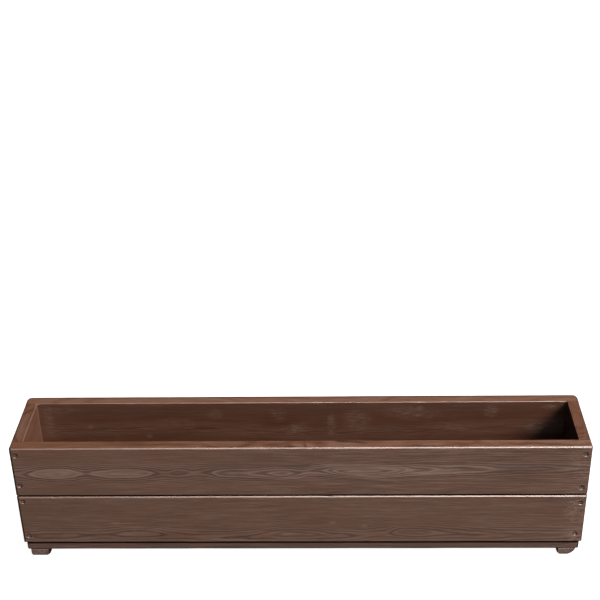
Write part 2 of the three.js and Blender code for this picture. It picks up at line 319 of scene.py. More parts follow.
def wood_material(name, spec, tone=1.0, sheen=0.32, gloss=0.3):
    net = Net(name)
    xyz = net.place()
    along, u, v = (xyz[i] for i in spec["axes"])
    a0, a1 = spec["span"]
    share = net.scaled(along, 1 / (a1 - a0), -a0 / (a1 - a0))
    deep, _ = net.curve(share, spec["deep"], -10.0, 90.0)
    mid, _ = net.curve(share, spec["mid"], *spec["mid_range"])
    lively, _ = net.curve(share, spec["lively"], 0.0, 1.5)
    seed = spec["seed"]
    du = net.math("SUBTRACT", net.scaled(u, 1.0, -spec["face"]), net.scaled(deep, spec["inward"]))
    dv = net.math("SUBTRACT", v, mid)
    beside = net.math("ABSOLUTE", dv)
    r = net.math("SQRT", net.add(net.times(du, du), net.times(dv, dv)))
    r = net.add(r, net.scaled(beside, POINTED))
    wave1 = net.math("SINE", net.add(net.scaled(along, 0.061), net.scaled(dv, 0.11)))
    wave2 = net.math("SINE", net.add(net.scaled(along, 0.143, 1.7), net.scaled(dv, -0.19)))
    wander = net.noise(net.vector(net.scaled(along, 0.011, seed), net.scaled(u, 0.06), net.scaled(v, 0.06)), 2.0, 0.55)
    ripple = net.noise(net.vector(net.scaled(along, 0.05, seed), net.scaled(u, 0.16), net.scaled(v, 0.2)), 2.0, 0.55)
    r = net.add(r, net.scaled(wave1, 0.32), net.scaled(wave2, 0.2), net.scaled(wander, spec.get("wander", 1.6), -spec.get("wander", 1.6) / 2), net.scaled(ripple, 1.4, -0.7))
    n = net.scaled(r, 1 / RING, 1 - FIRST / RING)

    # the dark line at each ring's end, some strong and some faint, and the light band beside it
    near_mid = net.smooth(beside, 23.0, 12.0)
    nearest = net.math("ROUND", n)
    off = net.math("ABSOLUTE", net.math("SUBTRACT", n, nearest))
    line = net.smooth(off, 0.0, net.smooth(n, 3.4, 3.9, spec.get("line", 0.27), 0.27), 1.0, 0.0)
    strength = net.scaled(net.math("SINE", net.scaled(nearest, 2.4, spec.get("phase", seed))), 0.22, 0.68)
    fade = net.noise(net.vector(net.scaled(along, 0.012, seed + 3), net.scaled(u, 0.03), net.scaled(v, 0.12)), 2.0, 0.6)
    fade = net.smooth(fade, 0.36, 0.62, 0.08, 0.75)
    fade = net.math("MAXIMUM", net.times(fade, lively), net.times(near_mid, spec.get("loops", 0.9)))
    line = net.times(net.times(line, strength), fade)
    if "core" in spec:  # how clear the innermost rings are, along the board
        core, _ = net.curve(share, spec["core"], 0.0, 1.0)
        line = net.times(line, net.math("SUBTRACT", 1.0, net.times(net.smooth(n, 2.75, 2.45), net.math("SUBTRACT", 1.0, core))))
    band = net.times(net.smooth(off, 0.16, 0.42), fade)

    # the pale middle of the loops
    heart = net.times(net.smooth(n, 3.18, 2.86), net.smooth(beside, 19.0, 8.0))

    # brush streaks, fibres and patches of thinner paint
    streak = net.noise(net.vector(net.scaled(along, 0.011, seed + 7), net.scaled(u, 0.25), net.scaled(v, 0.25)), 3.0, 0.62)
    streak = net.smooth(streak, 0.30, 0.72, -0.5, 0.5)
    short = net.noise(net.vector(net.scaled(along, 0.035, seed + 9), net.scaled(u, 0.5), net.scaled(v, 0.5)), 2.0, 0.6)
    fibre = net.noise(net.vector(net.scaled(along, 0.05, seed), net.scaled(u, 1.3), net.scaled(v, 1.3)), 3.0, 0.6)
    patch = net.noise(net.vector(net.scaled(along, 0.008, seed + 5), net.scaled(u, 0.02), net.scaled(v, 0.03)), 2.0, 0.5)
    tint = net.noise(net.vector(net.scaled(along, 0.014, seed + 11), net.scaled(u, 0.03), net.scaled(v, 0.03)), 2.0, 0.6)

    value = net.add(
        net.times(net.times(net.times(heart, net.scaled(short, 1.3, 0.3)), net.scaled(patch, 0.5, spec.get("heart", 0.10))),
                  net.scaled(lively, 0.6, 0.32)),
        net.scaled(line, -spec.get("depth", 0.75)), net.scaled(band, 0.16),
        net.times(streak, net.scaled(lively, 0.30)),
        net.times(net.scaled(short, spec.get("short", 0.8), -spec.get("short", 0.8) / 2), net.scaled(lively, 0.8, 0.2)),
        net.scaled(fibre, 0.3, -0.15), net.scaled(patch, 0.28, -0.14),
    )
    value = net.scaled(value, spec.get("contrast", 1.0), spec.get("level", 0.47))
    rough_extra = 0.0
    if "scuffs" in spec:
        worn = spots(net, along, v, spec["scuffs"])
        worn = net.times(worn, net.smooth(net.math("ABSOLUTE", u), INNER_Y + 1.6, INNER_Y + 0.8))
        scratch = net.noise(net.vector(net.scaled(along, 0.055, seed + 13), net.scaled(u, 0.5), net.scaled(v, 0.8)), 4.0, 0.75)
        worn = net.times(worn, net.smooth(scratch, 0.48, 0.58))
        value = net.add(value, net.scaled(worn, 0.95))
        rough_extra = net.scaled(worn, 0.15)
    if "stains" in spec:
        stain = spots(net, along, v, spec["stains"])
        value = net.add(value, net.times(stain, net.scaled(patch, 0.8, 0.6)))
    if "end_wear" in spec:
        end = net.smooth(along, 408.0, 440.0, 0.0, spec["end_wear"])
        rub = net.noise(net.vector(net.scaled(along, 0.12, seed + 15), net.scaled(u, 0.3), net.scaled(v, 0.55)), 3.0, 0.7)
        rubbed = net.noise(net.vector(net.scaled(along, 0.02, seed + 17), net.scaled(u, 0.05), net.scaled(v, 0.075)), 1.0, 0.5)
        end = net.times(end, net.smooth(rubbed, 0.36, 0.56, 0.25, 1.0))
        value = net.add(value, net.times(end, net.smooth(rub, 0.44, 0.62)))
    for a_c, v_c in spec.get("screws", ()):
        x, y = net.scaled(along, 1.0, -a_c), net.scaled(v, 1.0, -v_c)
        d = net.math("SQRT", net.add(net.times(x, x), net.times(y, y)))
        rim = net.smooth(net.math("ABSOLUTE", net.scaled(d, 1.0, -5.0)), 2.6, 0.4)
        value = net.add(value, net.times(rim, net.scaled(short, 1.4, -0.62)))
    # each shade entry is painted light or painted shade: a positive amount lightens the colour as a painted highlight,
    # a negative one darkens it as a painted shade
    dim = None
    for shade in spec.get("shades", ()):
        part = net.scaled(ramp(net, (along, u, v), shade), abs(shade[0]))
        if shade[0] > 0:
            value = net.add(value, part)
        else:
            dim = part if dim is None else net.math("MAXIMUM", dim, part)
    base = [c * t * tone for c, t in zip(PAINT, spec.get("hue", (1, 1, 1)))]
    cool = (base[0] * 0.985, base[1] * 1.03, base[2] * 1.05, 1)
    warm = (base[0] * 1.02, base[1] * 0.965, base[2] * 0.93, 1)
    plain = net.mix(net.smooth(tint, 0.35, 0.65), cool, warm)
    dark = (base[0] * 0.46, base[1] * 0.40, base[2] * 0.36, 1)
    light = (base[0] + 0.080, base[1] + 0.065, base[2] + 0.054, 1)
    colour = net.mix(net.math("MULTIPLY", value, 2.0, clamp=True), dark, plain)
    colour = net.mix(net.math("MULTIPLY_ADD", value, 2.0, -1.0, clamp=True), colour, light)
    if dim is not None:  # painted shade: the grooves, the gap between the boards, the recess under the walls and the edges turned away from the lamps are darkened towards near black, and their gloss is cut
        colour = net.mix(dim, colour, (0.016, 0.007, 0.0045, 1))
        gloss = net.scaled(net.smooth(dim, 0.0, 0.5), -gloss, gloss)

    if "rim" in spec:  # the flat top, where the paint has weathered matt
        gloss = net.times(net.smooth(v, spec["rim"] - 0.2, spec["rim"], 1.0, 0.12), gloss)
        rough_extra = net.add(net.smooth(v, spec["rim"] - 0.2, spec["rim"], 0.0, 0.25), rough_extra)

    height = net.add(net.scaled(line, -0.7), net.scaled(streak, 0.25), net.scaled(short, 0.12))
    if "calm" in spec:  # the rounded edge and the rim, sanded smooth before painting
        height = net.times(height, net.smooth(v, spec["calm"], spec["calm"] + 1.1, 1.0, 0.0))
    rough = net.add(net.scaled(streak, 0.06, sheen), net.scaled(line, 0.15), net.scaled(heart, 0.05), net.scaled(fibre, 0.08, -0.04), rough_extra)
    return net.finish(colour, rough, height, spec.get("bump", 0.00007), Specular_IOR_Level=gloss)


def board_spec(seed, axes, span, face, inward, deep, mid, **more):
    values = [m for _, m in mid]
    spec = dict(seed=float(seed), axes=axes, span=span, face=face, inward=inward, deep=deep, mid=mid,
                mid_range=(min(values) - 5, max(values) + 5), lively=[(0.0, 0.75), (1.0, 0.75)])
    spec.update(more)
    spec["tables"] = grain_tables(spec)
    return spec


def by_place(points, span):
    return [((x - span[0]) / (span[1] - span[0]), y) for x, y in points]


# =================================================================== wooden pieces
def spread(lo, hi, gap, centres=(), fine=0.35, reach=5.4):
    """Positions from lo to hi, a gap apart, and close together round the centres."""
    out = [lo]
    while out[-1] < hi:
        near = min((abs(out[-1] - c) for c in centres), default=1e9)
        out.append(out[-1] + (fine if near < reach else min(gap, fine + (near - reach) * 0.45)))
    out = np.array(out)
    return lo + (out - lo) * (hi - lo) / (out[-1] - lo)


def timber(name, origin, along, thick, high, size, radii, ends, gaps, screws=(), carve=None, full=2.0, corner=0.0):
    """A sawn piece with all its edges rounded. along, thick and high are the directions of its length, of its
    thickness (from its face inwards) and of its height. radii(s) gives the rounding (through the thickness, along
    the height) of its four long edges: face-bottom, face-top, inner-top, inner-bottom. ends is the rounding of its
    ends at the face, inner, bottom and top side. screws are (s, h) of the sunk screws in its face. full below 2
    makes the roundings on the face side flatter than an ellipse. corner is the rounding, seen along the height, of the
    two edges between the face and the ends."""
    length, th, hh = size
    gap_s, gap_face, gap_inner, gap_edge = gaps
    e_face, e_inner, e_bottom, e_top = ends
    e_max = max(ends)
    inside = spread(e_max + 0.3, length - e_max - 0.3, gap_s, [s for s, _ in screws])
    rounds = 5
    phi = np.radians(90 * np.arange(rounds) / rounds)
    cap = (th - e_face - e_inner) / 2 - 0.15
    shrink = np.array([cap] + [d for d in (7.0, 4.5, 2.4, 1.0) if d < cap - 0.5])
    kinds = [("cap", d, 0) for d in shrink] + [("round", 0, p) for p in phi]
    s0 = np.array([0.0] * len(kinds) + list(inside) + [length] * len(kinds))
    inset = np.array([1.0] * len(shrink) + list(1 - np.sin(phi)) + [0.0] * len(inside)
                     + list(1 - np.sin(phi[::-1])) + [1.0] * len(shrink))
    more = np.array(list(shrink) + [0.0] * (len(phi) + len(inside) + len(phi)) + list(shrink[::-1]))
    bow = np.array([0.0] * len(shrink) + list(1 - np.cos(phi)) + [0.0] * len(inside)
                   + list(-(1 - np.cos(phi[::-1]))) + [0.0] * len(shrink))
    ns = len(s0)
    r = np.maximum(np.stack([np.broadcast_to(np.asarray(v, float), (ns,)) for pair in radii(np.clip(s0, 0, length)) for v in pair]), 0.05)
    t0, t1 = e_face * inset + more, th - e_inner * inset - more
    h0, h1 = e_bottom * inset + more, hh - e_top * inset - more
    lost = np.minimum(inset * 1.0, 1.0) * e_max + more
    r = np.maximum(r - lost, 0.05)
    for a, b, room in ((0, 6, t1 - t0), (2, 4, t1 - t0), (1, 3, h1 - h0), (5, 7, h1 - h0)):
        keep = np.minimum(1, 0.97 * room / (r[a] + r[b]))
        r[a], r[b] = r[a] * keep, r[b] * keep
    rt00, rh00, rt01, rh01, rt11, rh11, rt10, rh10 = (v[:, None] for v in r)
    t0, t1, h0, h1 = (v[:, None] for v in (t0, t1, h0, h1))

    nominal = [v for pair in radii(np.array([length / 2])) for v in pair]
    nominal = [float(np.asarray(v).ravel()[0]) for v in nominal]
    n_arc = 7
    arc = np.radians(90 * np.arange(n_arc) / n_arc)[None, :]
    face_lines = spread(nominal[1], hh - nominal[3], gap_face, [h for _, h in screws])
    f_face = ((face_lines - nominal[1]) / (hh - nominal[1] - nominal[3]))[:-1][None, :]
    n_inner = max(4, round(hh / gap_inner))
    f_inner = (np.arange(n_inner) / n_inner)[None, :]
    n_edge = max(3, round(th / gap_edge))
    f_edge = (np.arange(n_edge) / n_edge)[None, :]

    def lerp(a, b, f):
        return a + (b - a) * f

    sine, cosine = np.sin(arc) ** (2 / full), np.cos(arc) ** (2 / full)

    one = np.ones((ns, 1))
    parts = [
        (lerp(t1 - rt10, t0 + rt00, f_edge), h0 * np.ones_like(f_edge), lerp(e_bottom, e_bottom, f_edge)),
        (t0 + rt00 - rt00 * sine, h0 + rh00 - rh00 * cosine, lerp(e_bottom, e_face, arc / (math.pi / 2))),
        (t0 * np.ones_like(f_face), lerp(h0 + rh00, h1 - rh01, f_face), lerp(e_face, e_face, f_face)),
        (t0 + rt01 - rt01 * cosine, h1 - rh01 + rh01 * sine, lerp(e_face, e_top, arc / (math.pi / 2))),
        (lerp(t0 + rt01, t1 - rt11, f_edge), h1 * np.ones_like(f_edge), lerp(e_top, e_top, f_edge)),
        (t1 - rt11 + rt11 * np.sin(arc), h1 - rh11 + rh11 * np.cos(arc), lerp(e_top, e_inner, arc / (math.pi / 2))),
        (t1 * np.ones_like(f_inner), lerp(h1 - rh11, h0 + rh10, f_inner), lerp(e_inner, e_inner, f_inner)),
        (t1 - rt10 + rt10 * np.cos(arc), h0 + rh10 - rh10 * np.sin(arc), lerp(e_inner, e_bottom, arc / (math.pi / 2))),
    ]
    T = np.concatenate([p[0] * one for p in parts], 1)
    H = np.concatenate([p[1] * one for p in parts], 1)
    E = np.concatenate([(p[2] * one)[:1] for p in parts], 1)
    S = s0[:, None] + bow[:, None] * E
    on_face = (T < 0.4).ravel()
    for far in ((False, True) if corner else ()):
        s = length - S if far else S
        a, b = corner - s, corner - T
        near = (a > 0) & (b > 0)
        a_in = a * np.sqrt(np.maximum(1 - b * b / (2 * corner ** 2), 0))
        b_in = b * np.sqrt(np.maximum(1 - a * a / (2 * corner ** 2), 0))
        s = np.where(near, corner - a_in, s)
        T = np.where(near, corner - b_in, T)
        S = length - s if far else s
    npr = T.shape[1]

    # lengths for the texture map
    middle = ns // 2
    steps_round = np.hypot(np.diff(np.append(T[middle], T[middle, 0])), np.diff(np.append(H[middle], H[middle, 0])))
    v_line = np.concatenate([[0], np.cumsum(steps_round)])
    around = v_line[-1]
    v_line = v_line / around * 0.885 + 0.005
    u_line = 0.006 + 0.988 * np.clip(S, 0, length) / length

    A, TD, HD = (np.array(v, float) for v in (along, thick, high))
    P = np.array(origin, float) + S[..., None] * A + T[..., None] * TD + H[..., None] * HD
    points = P.reshape(-1, 3)
    faces, uvs = [], []
    j = np.arange(npr)
    jn = (j + 1) % npr
    n_cap = len(shrink)
    quads = []
    quv = []
    for i in range(ns - 1):
        quads.append(np.stack([i * npr + j, i * npr + jn, (i + 1) * npr + jn, (i + 1) * npr + j], 1))
        if i < n_cap or i >= ns - 1 - n_cap:  # the flat end, drawn beside the sides
            left = 0.02 if i < n_cap else 0.52
            k = 0.098 / max(th, 1)

            def flat(a, b):
                return np.stack([left + H[a, b] / hh * 0.44, 0.898 + T[a, b] * k], 1)

            quv.append(np.stack([flat(i, j), flat(i, jn), flat(i + 1, jn), flat(i + 1, j)], 1))
        else:
            v0, v1 = v_line[:-1], v_line[1:]
            quv.append(np.stack([np.stack([u_line[i, j], v0], 1), np.stack([u_line[i, jn], v1], 1),
                                 np.stack([u_line[i + 1, jn], v1], 1), np.stack([u_line[i + 1, j], v0], 1)], 1))
    quads = np.concatenate(quads)
    quv = np.concatenate(quv)
    first, last = np.arange(npr), (ns - 1) * npr + np.arange(npr)
    handed = np.dot(np.cross(A, TD), HD)

    def ring_uv(i, left):
        k = 0.098 / max(th, 1)
        return np.stack([left + H[i] / hh * 0.44, 0.898 + T[i] * k], 1)

    rings = [(first[::-1], ring_uv(0, 0.02)[::-1]), (last, ring_uv(ns - 1, 0.52))]
    if handed > 0:  # the path round the section runs the other way then
        quads, quv = quads[:, ::-1], quv[:, ::-1]
        rings = [(a[::-1], b[::-1]) for a, b in rings]
    me = bpy.data.meshes.new(name)
    loops = np.concatenate([quads.ravel(), rings[0][0], rings[1][0]]).astype(np.int32)
    me.vertices.add(len(points))
    me.loops.add(len(loops))
    me.polygons.add(len(quads) + 2)
    starts = np.concatenate([np.arange(len(quads)) * 4, [len(quads) * 4, len(quads) * 4 + npr]]).astype(np.int32)
    me.loops.foreach_set("vertex_index", loops)
    me.polygons.foreach_set("loop_start", starts)
    me.vertices.foreach_set("co", (points * MM).astype(np.float32).ravel())
    me.update(calc_edges=True)
    me.validate()
    uv = me.uv_layers.new(name="OFBake")
    uv.data.foreach_set("uv", np.concatenate([quv.reshape(-1, 2), rings[0][1], rings[1][1]]).astype(np.float32).ravel())
    me.polygons.foreach_set("use_smooth", np.ones(len(me.polygons), bool))

    normals = np.zeros(len(points) * 3, np.float32)
    me.vertex_normals.foreach_get("vector", normals)
    normals = normals.reshape(-1, 3).astype(float)
    outward = ((points - points.mean(0)) * normals).sum()
    if outward < 0:
        raise RuntimeError(name + " is inside out")
    s_flat, t_flat, h_flat = S.ravel(), T.ravel(), H.ravel()
    sunk = np.zeros(len(points))
    for s_c, h_c in screws:
        d = np.hypot(s_flat - s_c, h_flat - h_c)
        pit = 3.4 * step(4.2, 3.86, d) + 0.35 * step(5.3, 3.9, d) * (1 - step(4.2, 3.86, d))
        sunk = np.maximum(sunk, np.where(on_face & (d < 6), pit - t_flat, 0))
    moved = points.copy()
    if carve is not None:
        moved = moved - normals * np.maximum(carve(points, normals, s_flat, t_flat, h_flat), 0)[:, None] * (sunk < 0.2)[:, None]
    moved = moved + sunk[:, None] * TD
    me.vertices.foreach_set("co", (moved * MM).astype(np.float32).ravel())
    me.update()
    obj = bpy.data.objects.new(name, me)
    scene.collection.objects.link(obj)
    return obj


def finish_wood(obj, node, material):
    obj.data.materials.append(material)
    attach(obj, body)
    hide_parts(node)


body = next(iter(frame["bodies"]))


def wood_carve(spec, seed, relief=0.045, wave=0.10, nicks=()):
    def carve(p, n, s, t, h):
        a, u, v = (p[:, i] for i in spec["axes"])
        number = ring_number(spec, a, u, v)
        off = np.abs(number - np.round(number))
        line = step(0.24, 0.0, off) * (0.7 + 0.25 * np.sin(np.round(number) * 2.4 + spec["seed"]))
        side = 1 - step(0.5, 0.9, np.abs(n[:, spec["axes"][0]]))
        flat = step(0.93, 0.995, np.maximum(np.abs(n[:, spec["axes"][1]]), np.abs(n[:, spec["axes"][2]])))
        depth = relief * line * side * flat + 0.3 * relief * (1 - side) * line
        depth = depth + wave * (0.5 + 0.5 * bumps(a / 70, u / 30, v / 34, seed))
        depth = depth + 0.015 * flat * (0.5 + 0.5 * bumps(a / 9, u / 5, v / 5, seed + 1))
        for (na, nu, nv, ra, rc, deep) in nicks:
            d = np.sqrt(((a - na) / ra) ** 2 + ((u - nu) / rc) ** 2 + ((v - nv) / rc) ** 2)
            depth = depth + deep * step(1.0, 0.2, d) * (0.8 + 0.2 * bumps(a / 1.2, u, v, seed + 2))
        return depth
    return carve


SPAN = (-450.0, 450.0)


def long_radii(outer_top=3.0, outer_bottom=3.0, seed=1, loose=0.2):
    """Roundings of a long board's edges. The inner upper edge runs out where the end panels meet it."""
    def radii(s):
        x = s - LENGTH / 2
        joint = step(429.6, 431.4, np.abs(x))
        top = outer_top + loose * bumps(x / 55, 0, 0, seed) + 0.5 * loose * bumps(x / 14, 0, 0, seed + 1)
        bottom = outer_bottom + loose * bumps(x / 55, 3, 0, seed) + 0.5 * loose * bumps(x / 14, 3, 0, seed + 1)
        inner = 1.05 + 0.15 * bumps(x / 40, 7, 0, seed)
        inner = inner * (1 - joint) + 0.12 * joint
        return (bottom, bottom), (top, top), (inner, inner), (inner, inner)
    return radii


def long_board(name, front, upper, spec, material, nicks=(), seed=1):
    z0 = UPPER_Z0 if upper else WALL_Z0
    y0, inward = (-DEPTH / 2, 1) if front else (DEPTH / 2, -1)
    rows = FRONT_SCREWS if front else BACK_SCREWS
    tall = UPPER if upper else LOWER
    screws = [(x + LENGTH / 2, z - z0) for _, x, z, _ in rows if z0 < z < z0 + tall]
    ends = (2.6 if front else 0.8, 0.25, 1.2, 2.2 if upper else 1.2)
    radii = long_radii(3.0 if front or not upper else 1.6, 3.0 if upper else 1.9, seed)
    obj = timber(name, (-LENGTH / 2, y0, z0), (1, 0, 0), (0, inward, 0), (0, 0, 1), (LENGTH, THICK, tall), radii, ends, (2.8, 0.9, 2.6, 2.1), screws,
                 wood_carve(spec, seed, nicks=nicks), corner=0.0 if front else 9.0)
    finish_wood(obj, name, material)
    return obj


def screw_spots(rows, z0):
    return [(x, z) for _, x, z, _ in rows if z0 < z < z0 + UPPER]


# ---- the front's upper board, with the grain that the face shows
FRONT_UPPER = board_spec(
    2, (0, 1, 2), SPAN, -71.0, 1.0,
    by_place([(-450, 20.9), (-434, 19.8), (-424, 18.0), (-405, 14.2), (-385, 12.2), (-362, 13.6), (-344, 17.2), (-334, 18.4),
              (-322, 17.0), (-302, 14.4), (-280, 13.2), (-256, 14.0), (-238, 16.6), (-224, 19.0), (-212, 20.3), (-187, 18.3), (-163, 20.2), (-143, 19.0), (-124, 15.5), (-60, 12), (-31, 9.2),
              (-1, 12), (10, 12.8), (21, 12), (101, 3.0), (191, 12), (272, 15.5), (316, 17.8), (378, 19), (426, 20.8),
              (450, 21.5)], SPAN),
    by_place([(-450, 168.6), (-385, 169.2), (-278, 169.4), (-187, 170), (-124, 170.4), (-31, 168.9), (8, 171.6),
              (24, 174.4), (101, 172.8), (191, 175.3), (272, 175.4), (378, 175.9), (450, 177)], SPAN),
    lively=by_place([(-450, 0.42), (-300, 0.55), (-100, 0.6), (20, 1.0), (300, 1.05), (450, 0.9)], SPAN),
    screws=screw_spots(FRONT_SCREWS, UPPER_Z0), end_wear=0.5, calm=214.4, rim=217.85, depth=0.9,
    # painted shade on the lower edge above the gap, on the rounded corners at both ends and on the inner top edge; a
    # touch of painted light and painted shade sets the rim's brightness
    shades=[(-0.75, ("v", 128.0, 126.4)), (-0.8, ("a", -445.8, -447.6), ("u", -67.4, -68.8)), (-0.35, ("a", 446.8, 448.8), ("u", -67.4, -68.8)), (0.05, ("v", 216.6, 217.4)), (-0.08, ("v", 216.9, 217.6)),
            (-0.6, ("U", 53.1, 52.4), ("v", 216.4, 217.2))],
    wander=0.7, phase=5.45, hue=(0.99, 1.0, 0.96), line=0.48, short=0.6, level=0.505, contrast=1.15,
    core=by_place([(-450, 0.2), (-215, 0.2), (-150, 1.0), (450, 1.0)], SPAN),
)
FRONT_LOWER = board_spec(
    11, (0, 1, 2), SPAN, -71.0, 1.0,
    by_place([(-450, 24), (-386, 20.5), (-325, 23), (-270, 20), (-190, 24), (-84, 21.5), (0, 17.5), (60, 21), (130, 23.5),
              (166, 19), (250, 22), (326, 24.5), (450, 27)], SPAN),
    by_place([(-450, 47), (-386, 44), (-270, 48), (-118, 40), (0, 47), (60, 43), (166, 50), (326, 44), (450, 46)], SPAN),
    lively=by_place([(-450, 0.5), (-200, 0.62), (0, 0.6), (250, 0.55), (450, 0.75)], SPAN),
    contrast=1.05, loops=0.7, heart=-0.1, level=0.48, hue=(1.0, 1.02, 0.95), line=0.36, short=0.9,
    stains=[(51, 71, 9, 5, 0.22), (102, 63.6, 8, 5, 0.25), (-298, 70, 12, 6, 0.18), (-269, 54.5, 8, 4, 0.2), (-118, 36, 45, 4, 0.2)],
    screws=screw_spots(FRONT_SCREWS, WALL_Z0), end_wear=1.1, calm=120.6,
    # painted shade on the bottom edge over the recess, on the rounded corners at both ends, just below the top edge
    # towards the right and on the top inside the gap; a painted highlight line runs just above the bottom edge
    shades=[(-0.8, ("v", 32.4, 31.0)), (0.16, ("v", 37.0, 35.0), ("v", 32.4, 33.8)), (-0.8, ("a", -445.8, -447.6), ("u", -67.4, -68.8)),
            (-0.4, ("a", 446.8, 448.8), ("u", -67.4, -68.8)), (-0.3, ("v", 118.2, 119.4), ("v", 121.4, 120.4), ("a", 0, 200)),
            (-0.9, ("U", 69.4, 68.6), ("v", 121.6, 122.6))],
)
BACK_UPPER = board_spec(
    23, (0, 1, 2), SPAN, 71.0, -1.0,
    by_place([(-450, 20), (-330, 14), (-240, 17), (-150, 24), (-20, 27), (130, 20), (210, 15), (300, 19), (450, 26)], SPAN),
    by_place([(-450, 160), (-200, 168), (50, 157), (250, 165), (450, 172)], SPAN),
    contrast=0.62, heart=-0.05, short=0.6, calm=215.6, rim=217.88,
    scuffs=[(50, 176, 10, 30, 0.85), (92, 182, 32, 28, 0.8), (180, 198, 58, 20, 0.8), (310, 199, 16, 16, 0.95), (382, 167, 20, 16, 0.95),
            (402, 208, 16, 6, 0.95), (-37, 194, 22, 20, 0.6), (-8, 166, 34, 20, 0.65), (-252, 153, 9, 7, 0.9), (-347, 172, 6, 6, 0.9),
            (-140, 195, 18, 16, 0.5), (-391, 205, 44, 10, 0.5), (-415, 182, 12, 44, 0.55), (240, 170, 60, 16, 0.4), (-200, 180, 60, 12, 0.3)],
    stains=[(-34, 186, 46, 34, -0.12), (-80, 170, 30, 30, 0.06)],
    screws=screw_spots(BACK_SCREWS, UPPER_Z0),
    # painted shade on the outer top edge and at the top of both ends, which face away from the lamps; painted light
    # along the rim and painted shade on its flat top
    shades=[(-0.55, ("U", 65.8, 67.6), ("v", 214.4, 216.0)), (-0.5, ("A", 446.0, 448.6), ("v", 214.4, 216.0)), (0.24, ("v", 216.6, 217.4)), (-0.13, ("v", 217.4, 217.8))],
    hue=(1.0, 0.89, 0.81),
)
BACK_LOWER = board_spec(
    31, (0, 1, 2), SPAN, 71.0, -1.0,
    by_place([(-450, 30), (-280, 22), (-120, 16), (30, 11), (140, 16), (280, 23), (450, 30)], SPAN),
    by_place([(-450, 88), (-200, 79), (50, 86), (250, 92), (450, 84)], SPAN),
    contrast=0.85, heart=-0.05, scuffs=[(-120, 90, 50, 20, 0.4), (210, 70, 60, 18, 0.4)], hue=(1.0, 0.89, 0.81),
    screws=screw_spots(BACK_SCREWS, WALL_Z0),
)

long_board("front_board_upper", True, True, FRONT_UPPER, wood_material("paint_front_upper", FRONT_UPPER, 1.02), seed=5,
           nicks=[(334, -69.5, 126.0, 5, 1.6, 0.7), (351, -69.5, 126.0, 9, 1.5, 0.5), (379, -69.5, 126.2, 6, 1.8, 0.8),
                  (402, -69.5, 126.0, 8, 1.4, 0.6), (431, -69.5, 126.2, 7, 1.8, 0.7)])
long_board("front_board_lower", True, False, FRONT_LOWER, wood_material("paint_front_lower", FRONT_LOWER, 0.99), seed=6,
           nicks=[(-389, -70.0, 123.2, 4, 2.2, 0.8), (-377, -70.0, 123.4, 3, 1.8, 0.6), (47, -69.6, 123.6, 7, 1.8, 0.8),
                  (220, -69.8, 123.4, 4, 1.6, 0.6), (-205, -70.0, 123.4, 3, 1.5, 0.5)])
long_board("back_board_upper", False, True, BACK_UPPER, wood_material("paint_back_upper", BACK_UPPER), seed=7)
long_board("back_board_lower", False, False, BACK_LOWER, wood_material("paint_back_lower", BACK_LOWER, 0.95), seed=8)

# ---- end panels, between the long walls
for name, side, seed in (("end_panel_left", -1, 41), ("end_panel_right", 1, 53)):
    span = (-INNER_Y, INNER_Y)
    spec = board_spec(
        seed, (1, 0, 2), span, side * 450.0, -side * 1.0,
        by_place([(-INNER_Y, 22), (-15, 17), (20, 19), (INNER_Y, 26)], span),
        by_place([(-INNER_Y, 128), (0, 133 + 4 * side), (INNER_Y, 126)], span), rim=217.85,
        # painted shade on the outer top edge, darker at the left end, and on the flat top; at the left end also painted
        # highlights along the inner top edge and along the inner corner at the back wall
        shades=[(-0.7 if side < 0 else -0.4, ("U", 446.6, 448.2), ("v", 214.6, 216.2)), (-0.13, ("v", 216.6, 217.4))]
        + [(0.4, ("U", 432.5, 431.7), ("v", 216.2, 217.0)), (0.5, ("a", 47.4, 49.0), ("U", 432.2, 431.5))] * (side < 0),
    )
    width, tall = 2 * INNER_Y - 0.04, HEIGHT - WALL_Z0

    def radii(s, seed=seed):
        y = s - INNER_Y
        top = 2.7 + 0.25 * bumps(y / 25, 0, 0, seed)
        inner = 1.05 + 0.12 * bumps(y / 25, 5, 0, seed)
        return (1.5, 1.5), (top, top), (inner, inner), (1.0, 1.0)

    obj = timber(name, (side * LENGTH / 2, -INNER_Y + 0.02, WALL_Z0), (0, 1, 0), (-side, 0, 0), (0, 0, 1),
                 (width, THICK, tall), radii, (0.2, 0.15, 0.2, 0.15), (1.1, 1.2, 1.4, 1.4), (),
                 wood_carve(spec, seed, relief=0.08, wave=0.06))
    finish_wood(obj, name, wood_material("paint_" + name, spec, 1.0))

# ---- base slats
for name, side, seed in (("base_slat_front", -1, 61), ("base_slat_back", 1, 67)):
    span = (-447.0, 447.0)
    y0 = -67.0 if side < 0 else 5.0
    spec = board_spec(
        seed, (0, 2, 1), span, BASE_Z0, 1.0,
        by_place([(-447, 30), (-200, 24), (60, 29), (250, 22), (447, 30)], span),
        by_place([(-447, y0 + 28), (-100, y0 + 36), (200, y0 + 26), (447, y0 + 33)], span),
        # painted shade in the groove under the walls, along the outer bottom edges and on both ends
        shades=[(-0.92, ("u", 24.2, 25.6), ("V", 59.0, 60.5)), (-0.6, ("u", 15.0, 13.8), ("V", 62.5, 64.5)), (-0.6, ("A", 443.6, 445.4))],
    )
    rows = [r for r in BASE_SCREWS if y0 < r[2] < y0 + 62]

    def radii(s, seed=seed, side=side):
        x = s - 447.0
        r = 2.0 + 0.3 * bumps(x / 40, 0, 0, seed)
        groove = 5.9 + 0.3 * bumps(x / 60, 4, 0, seed)
        inner = [(1.6, 1.6), (groove, groove)]
        return (r, r), (r, r), inner[side > 0], inner[side < 0]

    obj = timber(name, (-447, y0, BASE_Z0), (1, 0, 0), (0, 0, 1), (0, 1, 0), (894, BASE, 62), radii,
                 (4.0, 1.5, 2.5, 2.5), (3.0, 1.3, 2.0, 1.5), [(x + 447, y - y0) for _, x, y, _ in rows],
                 wood_carve(spec, seed, relief=0.1, wave=0.12))
    finish_wood(obj, name, wood_material("paint_" + name, spec, 0.80, sheen=0.40))

